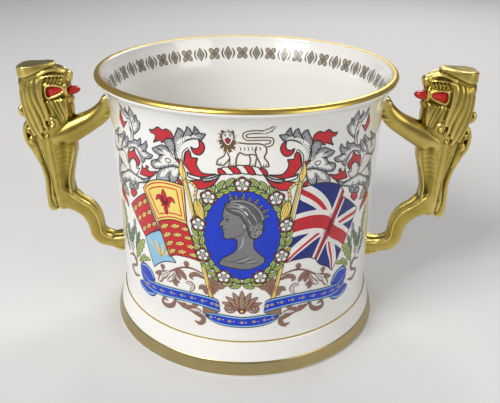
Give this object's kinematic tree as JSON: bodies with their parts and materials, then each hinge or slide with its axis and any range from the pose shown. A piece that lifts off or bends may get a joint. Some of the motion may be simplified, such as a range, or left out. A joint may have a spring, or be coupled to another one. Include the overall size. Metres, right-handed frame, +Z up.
{
  "type": "loving cup",
  "caption": "Two-handled china loving cup with a flared gilt lip, a plinth foot, a printed heraldic front and gilded lion handles that stand against the wall.",
  "frame": {"origin": "centre of the foot's underside, on the cup's axis, at table height", "axes": "+Z up along the cup's axis, +X out through the right lion as seen from the printed front, -Y out of the printed front"},
  "size_m": [0.2206, 0.1404, 0.1282],
  "materials": {
    "china": "gloss clear glaze on white china",
    "gilding": "bright fired gold",
    "gilded_china": "satin fired gold over glaze",
    "red_enamel": "gloss red enamel"
  },
  "bodies": {
    "root": {"bowl": "china", "foot": "china", "rim_gilding": "gilding", "ledge_gilding": "gilding", "foot_gilding": "gilding", "left_lion_torso": "gilded_china", "left_lion_head": "gilded_china", "left_lion_mane": "gilded_china", "left_lion_tail": "gilded_china", "left_lion_front_foreleg": "gilded_china", "left_lion_back_foreleg": "gilded_china", "left_lion_front_hind_leg": "gilded_china", "left_lion_back_hind_leg": "gilded_china", "left_lion_mouth_enamel": "red_enamel", "left_lion_tongue": "red_enamel", "right_lion_torso": "gilded_china", "right_lion_head": "gilded_china", "right_lion_mane": "gilded_china", "right_lion_tail": "gilded_china", "right_lion_front_foreleg": "gilded_china", "right_lion_back_foreleg": "gilded_china", "right_lion_front_hind_leg": "gilded_china", "right_lion_back_hind_leg": "gilded_china", "right_lion_mouth_enamel": "red_enamel", "right_lion_tongue": "red_enamel"}
  },
  "joints": []
}
